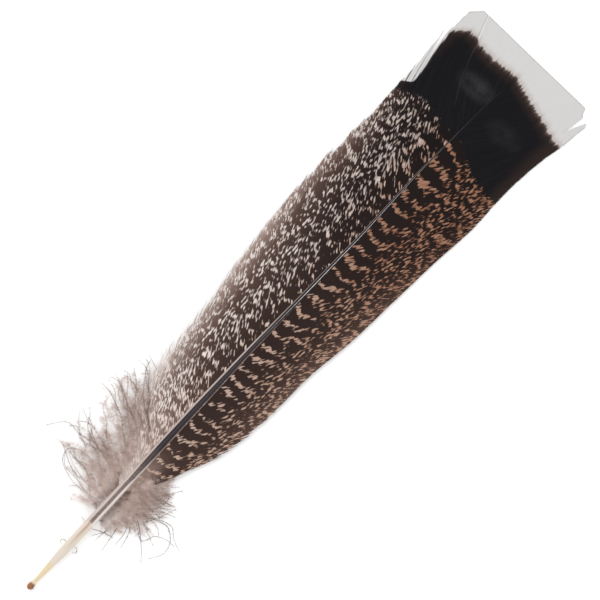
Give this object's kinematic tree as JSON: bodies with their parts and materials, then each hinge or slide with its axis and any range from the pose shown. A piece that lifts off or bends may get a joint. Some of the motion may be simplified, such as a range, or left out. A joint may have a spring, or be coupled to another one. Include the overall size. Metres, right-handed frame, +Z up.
{
  "type": "turkey tail feather",
  "caption": "Barred turkey tail feather with a bowed shaft, a vane on each side, pale tip band and tufts of down above the quill, lying flat.",
  "frame": {"origin": "middle of the bounding box, on the surface that the feather lies on", "axes": "+Y along the feather from the quill to the tip, +Z up out of its upper side, +X to the right"},
  "size_m": [0.0756, 0.33, 0.0091],
  "materials": {
    "shaft": "horn: smooth and glossy, dark grey-brown above, cream at the sides and the quill",
    "vane": "dark brown barbs with buff bars and fine mottling, a glossy black band and a pale tip",
    "down": "taupe and white fluff"
  },
  "bodies": {
    "root": {"shaft": "shaft", "vane_left": "vane", "vane_right": "vane", "down_left": "down", "down_right": "down"}
  },
  "joints": []
}
